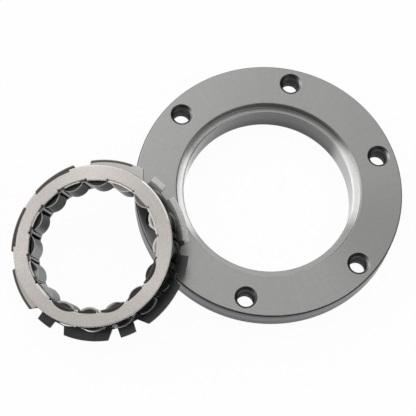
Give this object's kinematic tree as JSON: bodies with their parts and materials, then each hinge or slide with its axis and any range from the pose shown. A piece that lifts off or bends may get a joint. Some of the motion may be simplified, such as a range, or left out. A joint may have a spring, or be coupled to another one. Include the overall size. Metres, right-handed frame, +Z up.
{
  "type": "sprag clutch",
  "caption": "One-way sprag clutch taken apart: flanged race ring with tapped holes lies flat, sprag cage with seating tabs leans on its edge.",
  "frame": {"origin": "centre of the lower end of the race bore, on the floor plane", "axes": "+Z up along the race bore, from the pilot boss to the counterbored face; the cage leans on the -X -Y side"},
  "size_m": [0.1487, 0.1221, 0.0317],
  "materials": {
    "ring_steel": "fine turned and ground steel",
    "black_sheet": "blackened pressed sheet, glossy",
    "satin_plate": "satin ground steel",
    "inner_sheet": "pressed sheet, slightly brown",
    "spring_steel": "spring strip",
    "sprag_steel": "hardened and polished steel"
  },
  "bodies": {
    "race_ring": {"race_ring": "ring_steel"},
    "cage": {"outer_cage": "black_sheet", "end_plate": "satin_plate", "ribbon_spring": "spring_steel"},
    "inner_cage": {"inner_cage": "inner_sheet"},
    "sprag_01": {"sprag_01": "sprag_steel"},
    "sprag_02": {"sprag_02": "sprag_steel"},
    "sprag_03": {"sprag_03": "sprag_steel"},
    "sprag_04": {"sprag_04": "sprag_steel"},
    "sprag_05": {"sprag_05": "sprag_steel"},
    "sprag_06": {"sprag_06": "sprag_steel"},
    "sprag_07": {"sprag_07": "sprag_steel"},
    "sprag_08": {"sprag_08": "sprag_steel"},
    "sprag_09": {"sprag_09": "sprag_steel"},
    "sprag_10": {"sprag_10": "sprag_steel"},
    "sprag_11": {"sprag_11": "sprag_steel"},
    "sprag_12": {"sprag_12": "sprag_steel"},
    "sprag_13": {"sprag_13": "sprag_steel"},
    "sprag_14": {"sprag_14": "sprag_steel"},
    "sprag_15": {"sprag_15": "sprag_steel"},
    "sprag_16": {"sprag_16": "sprag_steel"}
  },
  "joints": [
    {"name": "cage_lift_off", "type": "slide", "parent": "race_ring", "child": "cage", "axis": [0, 0, 1], "range_m": [0, 0.04]},
    {"name": "inner_cage_turn", "type": "hinge", "parent": "cage", "child": "inner_cage", "pos_m": [-0.06083, -0.03412, 0.0093], "axis": [-0.2344, -0.1952, 0.9523], "range_deg": [0, 1], "stiffness_Nm_per_rad": 0.2},
    {"name": "sprag_01_tilt", "type": "hinge", "parent": "cage", "child": "sprag_01", "pos_m": [-0.03583, -0.03427, 0.02215], "axis": [-0.2344, -0.1952, 0.9523], "range_deg": [-10, 0]},
    {"name": "sprag_02_tilt", "type": "hinge", "parent": "cage", "child": "sprag_02", "pos_m": [-0.03875, -0.0241, 0.02351], "axis": [-0.2344, -0.1952, 0.9523], "range_deg": [-10, 0]},
    {"name": "sprag_03_tilt", "type": "hinge", "parent": "cage", "child": "sprag_03", "pos_m": [-0.04526, -0.01563, 0.02364], "axis": [-0.2344, -0.1952, 0.9523], "range_deg": [-10, 0]},
    {"name": "sprag_04_tilt", "type": "hinge", "parent": "cage", "child": "sprag_04", "pos_m": [-0.05436, -0.01017, 0.02252], "axis": [-0.2344, -0.1952, 0.9523], "range_deg": [-10, 0]},
    {"name": "sprag_05_tilt", "type": "hinge", "parent": "cage", "child": "sprag_05", "pos_m": [-0.06468, -0.00855, 0.02031], "axis": [-0.2344, -0.1952, 0.9523], "range_deg": [-10, 0]},
    {"name": "sprag_06_tilt", "type": "hinge", "parent": "cage", "child": "sprag_06", "pos_m": [-0.07465, -0.01101, 0.01736], "axis": [-0.2344, -0.1952, 0.9523], "range_deg": [-10, 0]},
    {"name": "sprag_07_tilt", "type": "hinge", "parent": "cage", "child": "sprag_07", "pos_m": [-0.08273, -0.01718, 0.0141], "axis": [-0.2344, -0.1952, 0.9523], "range_deg": [-10, 0]},
    {"name": "sprag_08_tilt", "type": "hinge", "parent": "cage", "child": "sprag_08", "pos_m": [-0.08771, -0.02611, 0.01105], "axis": [-0.2344, -0.1952, 0.9523], "range_deg": [-10, 0]},
    {"name": "sprag_09_tilt", "type": "hinge", "parent": "cage", "child": "sprag_09", "pos_m": [-0.08883, -0.03646, 0.00865], "axis": [-0.2344, -0.1952, 0.9523], "range_deg": [-10, 0]},
    {"name": "sprag_10_tilt", "type": "hinge", "parent": "cage", "child": "sprag_10", "pos_m": [-0.08591, -0.04664, 0.00728], "axis": [-0.2344, -0.1952, 0.9523], "range_deg": [-10, 0]},
    {"name": "sprag_11_tilt", "type": "hinge", "parent": "cage", "child": "sprag_11", "pos_m": [-0.0794, -0.0551, 0.00715], "axis": [-0.2344, -0.1952, 0.9523], "range_deg": [-10, 0]},
    {"name": "sprag_12_tilt", "type": "hinge", "parent": "cage", "child": "sprag_12", "pos_m": [-0.07029, -0.06056, 0.00827], "axis": [-0.2344, -0.1952, 0.9523], "range_deg": [-10, 0]},
    {"name": "sprag_13_tilt", "type": "hinge", "parent": "cage", "child": "sprag_13", "pos_m": [-0.05997, -0.06218, 0.01048], "axis": [-0.2344, -0.1952, 0.9523], "range_deg": [-10, 0]},
    {"name": "sprag_14_tilt", "type": "hinge", "parent": "cage", "child": "sprag_14", "pos_m": [-0.05001, -0.05972, 0.01344], "axis": [-0.2344, -0.1952, 0.9523], "range_deg": [-10, 0]},
    {"name": "sprag_15_tilt", "type": "hinge", "parent": "cage", "child": "sprag_15", "pos_m": [-0.04192, -0.05356, 0.01669], "axis": [-0.2344, -0.1952, 0.9523], "range_deg": [-10, 0]},
    {"name": "sprag_16_tilt", "type": "hinge", "parent": "cage", "child": "sprag_16", "pos_m": [-0.03694, -0.04462, 0.01975], "axis": [-0.2344, -0.1952, 0.9523], "range_deg": [-10, 0]}
  ],
  "couplings": [
    {"joint": "sprag_01_tilt", "follows": "inner_cage_turn", "ratio": -10},
    {"joint": "sprag_02_tilt", "follows": "inner_cage_turn", "ratio": -10},
    {"joint": "sprag_03_tilt", "follows": "inner_cage_turn", "ratio": -10},
    {"joint": "sprag_04_tilt", "follows": "inner_cage_turn", "ratio": -10},
    {"joint": "sprag_05_tilt", "follows": "inner_cage_turn", "ratio": -10},
    {"joint": "sprag_06_tilt", "follows": "inner_cage_turn", "ratio": -10},
    {"joint": "sprag_07_tilt", "follows": "inner_cage_turn", "ratio": -10},
    {"joint": "sprag_08_tilt", "follows": "inner_cage_turn", "ratio": -10},
    {"joint": "sprag_09_tilt", "follows": "inner_cage_turn", "ratio": -10},
    {"joint": "sprag_10_tilt", "follows": "inner_cage_turn", "ratio": -10},
    {"joint": "sprag_11_tilt", "follows": "inner_cage_turn", "ratio": -10},
    {"joint": "sprag_12_tilt", "follows": "inner_cage_turn", "ratio": -10},
    {"joint": "sprag_13_tilt", "follows": "inner_cage_turn", "ratio": -10},
    {"joint": "sprag_14_tilt", "follows": "inner_cage_turn", "ratio": -10},
    {"joint": "sprag_15_tilt", "follows": "inner_cage_turn", "ratio": -10},
    {"joint": "sprag_16_tilt", "follows": "inner_cage_turn", "ratio": -10}
  ]
}
